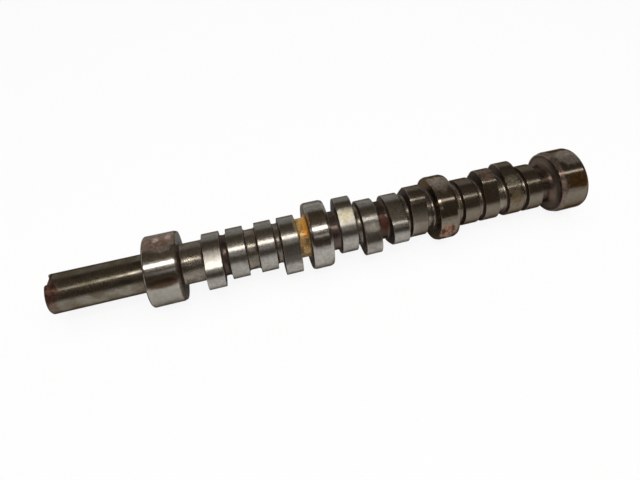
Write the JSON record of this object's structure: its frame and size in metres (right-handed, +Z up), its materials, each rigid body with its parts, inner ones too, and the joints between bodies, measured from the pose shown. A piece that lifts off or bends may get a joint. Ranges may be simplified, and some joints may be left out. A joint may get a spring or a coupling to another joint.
{
  "type": "camshaft",
  "caption": "One-piece camshaft for a pushrod V6: plain round nose, ground journals and bays of lobes on a rough cast neck.",
  "frame": {"origin": "on the shaft's axis, at the middle of the front journal", "axes": "+X along the shaft from the nose to the rear journal; +Z up, with the notch in the nose's rim 17 degrees from it"},
  "size_m": [0.4201, 0.052, 0.052],
  "materials": {
    "worn_iron": "ground journals and lobes, worn and spotted with rust, on an as-cast neck"
  },
  "bodies": {
    "root": {"camshaft": "worn_iron"}
  },
  "joints": []
}
